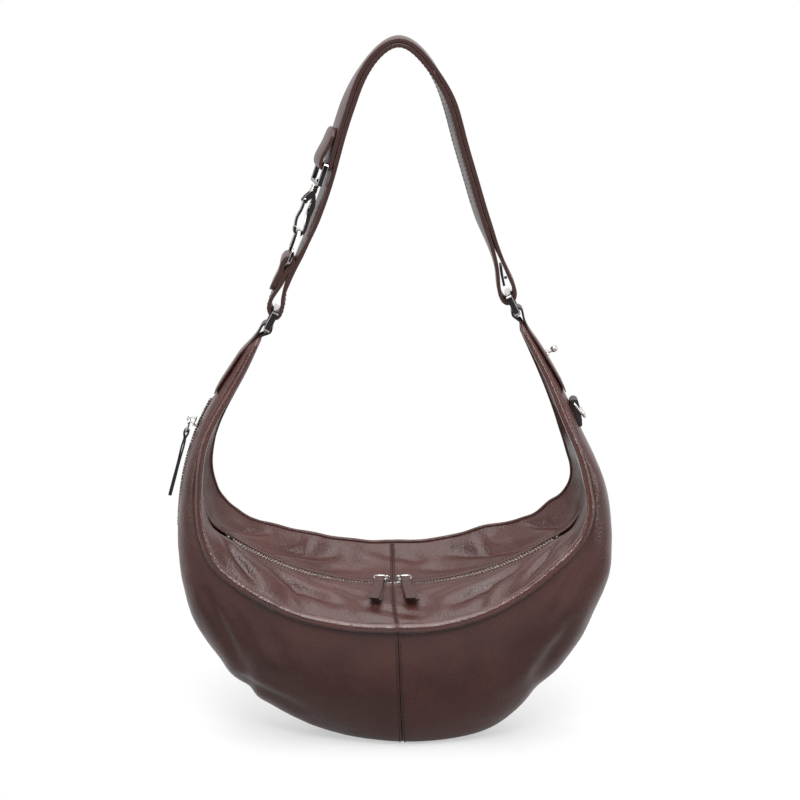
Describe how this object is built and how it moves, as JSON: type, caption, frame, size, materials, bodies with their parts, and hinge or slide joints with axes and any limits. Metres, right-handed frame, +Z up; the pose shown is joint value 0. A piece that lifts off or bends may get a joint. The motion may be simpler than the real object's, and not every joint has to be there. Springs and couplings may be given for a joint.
{
  "type": "half moon shoulder bag",
  "caption": "Soft leather crescent shoulder bag with horns, curved top zip with sliders, side pocket zip, doubled strap on rings, snap hook, ball stud and D-ring",
  "frame": {"origin": "on the floor, on the flat base under the centre seam", "axes": "+X to the right seen from the front, +Y to the back, +Z up"},
  "size_m": [0.418, 0.1352, 0.6655],
  "materials": {
    "bag_leather": "soft semi-gloss",
    "strap_leather": "semi-gloss with painted edges",
    "lining_cloth": "plain weave",
    "zip_tape_cloth": "woven",
    "zip_metal": "polished dark nickel",
    "dark_metal": "polished dark nickel"
  },
  "bodies": {
    "bag": {"front_panel_left": "bag_leather", "front_panel_right": "bag_leather", "back_panel_left": "bag_leather", "back_panel_right": "bag_leather", "front_gusset_left": "bag_leather", "front_gusset_right": "bag_leather", "back_gusset_left": "bag_leather", "back_gusset_right": "bag_leather", "front_welt_left": "bag_leather", "front_welt_right": "bag_leather", "back_welt_left": "bag_leather", "back_welt_right": "bag_leather", "lining_front": "lining_cloth", "lining_back": "lining_cloth", "inner_pocket": "lining_cloth", "zip_tape_front": "zip_tape_cloth", "zip_tape_back": "zip_tape_cloth", "zip_chain_left": "zip_metal", "zip_chain_right": "zip_metal", "zip_end_stops": "zip_metal", "side_zip_tape": "zip_tape_cloth", "side_zip_chain": "zip_metal", "side_pocket": "lining_cloth", "horn_tab_left": "bag_leather", "horn_tab_right": "bag_leather", "horn_stud": "dark_metal", "anchor_tab": "bag_leather"},
    "strap": {"shoulder_strap": "strap_leather", "ring_left": "dark_metal", "ring_right": "dark_metal", "keeper_tab": "strap_leather", "strap_stud": "dark_metal", "hook_eye": "dark_metal", "tip_ring": "dark_metal"},
    "snap_hook": {"hook_body": "dark_metal", "hook_gate_pin": "dark_metal"},
    "hook_lever": {"hook_gate": "dark_metal"},
    "left_slider": {"slider_left": "dark_metal"},
    "left_link": {"pull_link_left": "dark_metal"},
    "left_pull": {"pull_tab_left": "bag_leather"},
    "right_slider": {"slider_right": "dark_metal"},
    "right_link": {"pull_link_right": "dark_metal"},
    "right_pull": {"pull_tab_right": "bag_leather"},
    "pocket_slider": {"side_slider": "dark_metal"},
    "pocket_link": {"side_link": "dark_metal"},
    "pocket_pull": {"side_pull": "bag_leather"},
    "d_ring": {"anchor_ring": "dark_metal"}
  },
  "joints": [
    {"name": "strap_swing", "type": "hinge", "parent": "bag", "child": "strap", "pos_m": [-0.00744, 0, 0.40856], "axis": [0.9979, 0, 0.0655], "range_deg": [-55, 55], "deforming": ["horn_tab_left", "horn_tab_right"]},
    {"name": "left_zip", "type": "hinge", "parent": "bag", "child": "left_slider", "pos_m": [-0.007, 0, 0.427], "axis": [0, 1, 0], "range_deg": [0, 31.5], "deforming": ["zip_chain_left"]},
    {"name": "left_link_lift", "type": "hinge", "parent": "left_slider", "child": "left_link", "pos_m": [-0.01221, 0, 0.15665], "axis": [0.2079, 0.9781, -0.004], "range_deg": [0, 80]},
    {"name": "left_pull_lift", "type": "hinge", "parent": "left_link", "child": "left_pull", "pos_m": [-0.0194, -0.00379, 0.15679], "axis": [0.978, -0.2079, -0.0188], "range_deg": [-95, 0]},
    {"name": "right_zip", "type": "hinge", "parent": "bag", "child": "right_slider", "pos_m": [-0.007, 0, 0.427], "axis": [0, 1, 0], "range_deg": [-31.5, 0], "deforming": ["zip_chain_right"]},
    {"name": "right_link_lift", "type": "hinge", "parent": "right_slider", "child": "right_link", "pos_m": [-0.00179, 0, 0.15665], "axis": [-0.2079, 0.9781, -0.004], "range_deg": [-80, 0]},
    {"name": "right_pull_lift", "type": "hinge", "parent": "right_link", "child": "right_pull", "pos_m": [0.0054, -0.00379, 0.15679], "axis": [0.978, 0.2079, 0.0188], "range_deg": [-95, 0]},
    {"name": "pocket_zip", "type": "hinge", "parent": "bag", "child": "pocket_slider", "pos_m": [0.04705, 0.00713, 0.20487], "axis": [0, 1, 0], "range_deg": [-20.6, 3.8], "deforming": ["side_zip_chain"]},
    {"name": "pocket_link_lift", "type": "hinge", "parent": "pocket_slider", "child": "pocket_link", "pos_m": [-0.1965, 0.00713, 0.31109], "axis": [0, 1, 0], "range_deg": [0, 95]},
    {"name": "pocket_pull_lift", "type": "hinge", "parent": "pocket_link", "child": "pocket_pull", "pos_m": [-0.19984, 0.00713, 0.29904], "axis": [0, 1, 0], "range_deg": [0, 60]},
    {"name": "hook_swivel", "type": "hinge", "parent": "strap", "child": "snap_hook", "pos_m": [-0.07589, 0, 0.53483], "axis": [0.3502, 0, 0.9367], "range_deg": [-15, 15]},
    {"name": "hook_gate_spring", "type": "hinge", "parent": "snap_hook", "child": "hook_lever", "pos_m": [-0.08692, 0, 0.51846], "axis": [0, 1, 0], "range_deg": [-12, 0], "stiffness_Nm_per_rad": 0.02},
    {"name": "d_ring_lift", "type": "hinge", "parent": "bag", "child": "d_ring", "pos_m": [0.16229, 0, 0.33001], "axis": [0, 1, 0], "range_deg": [-150, 0]}
  ]
}
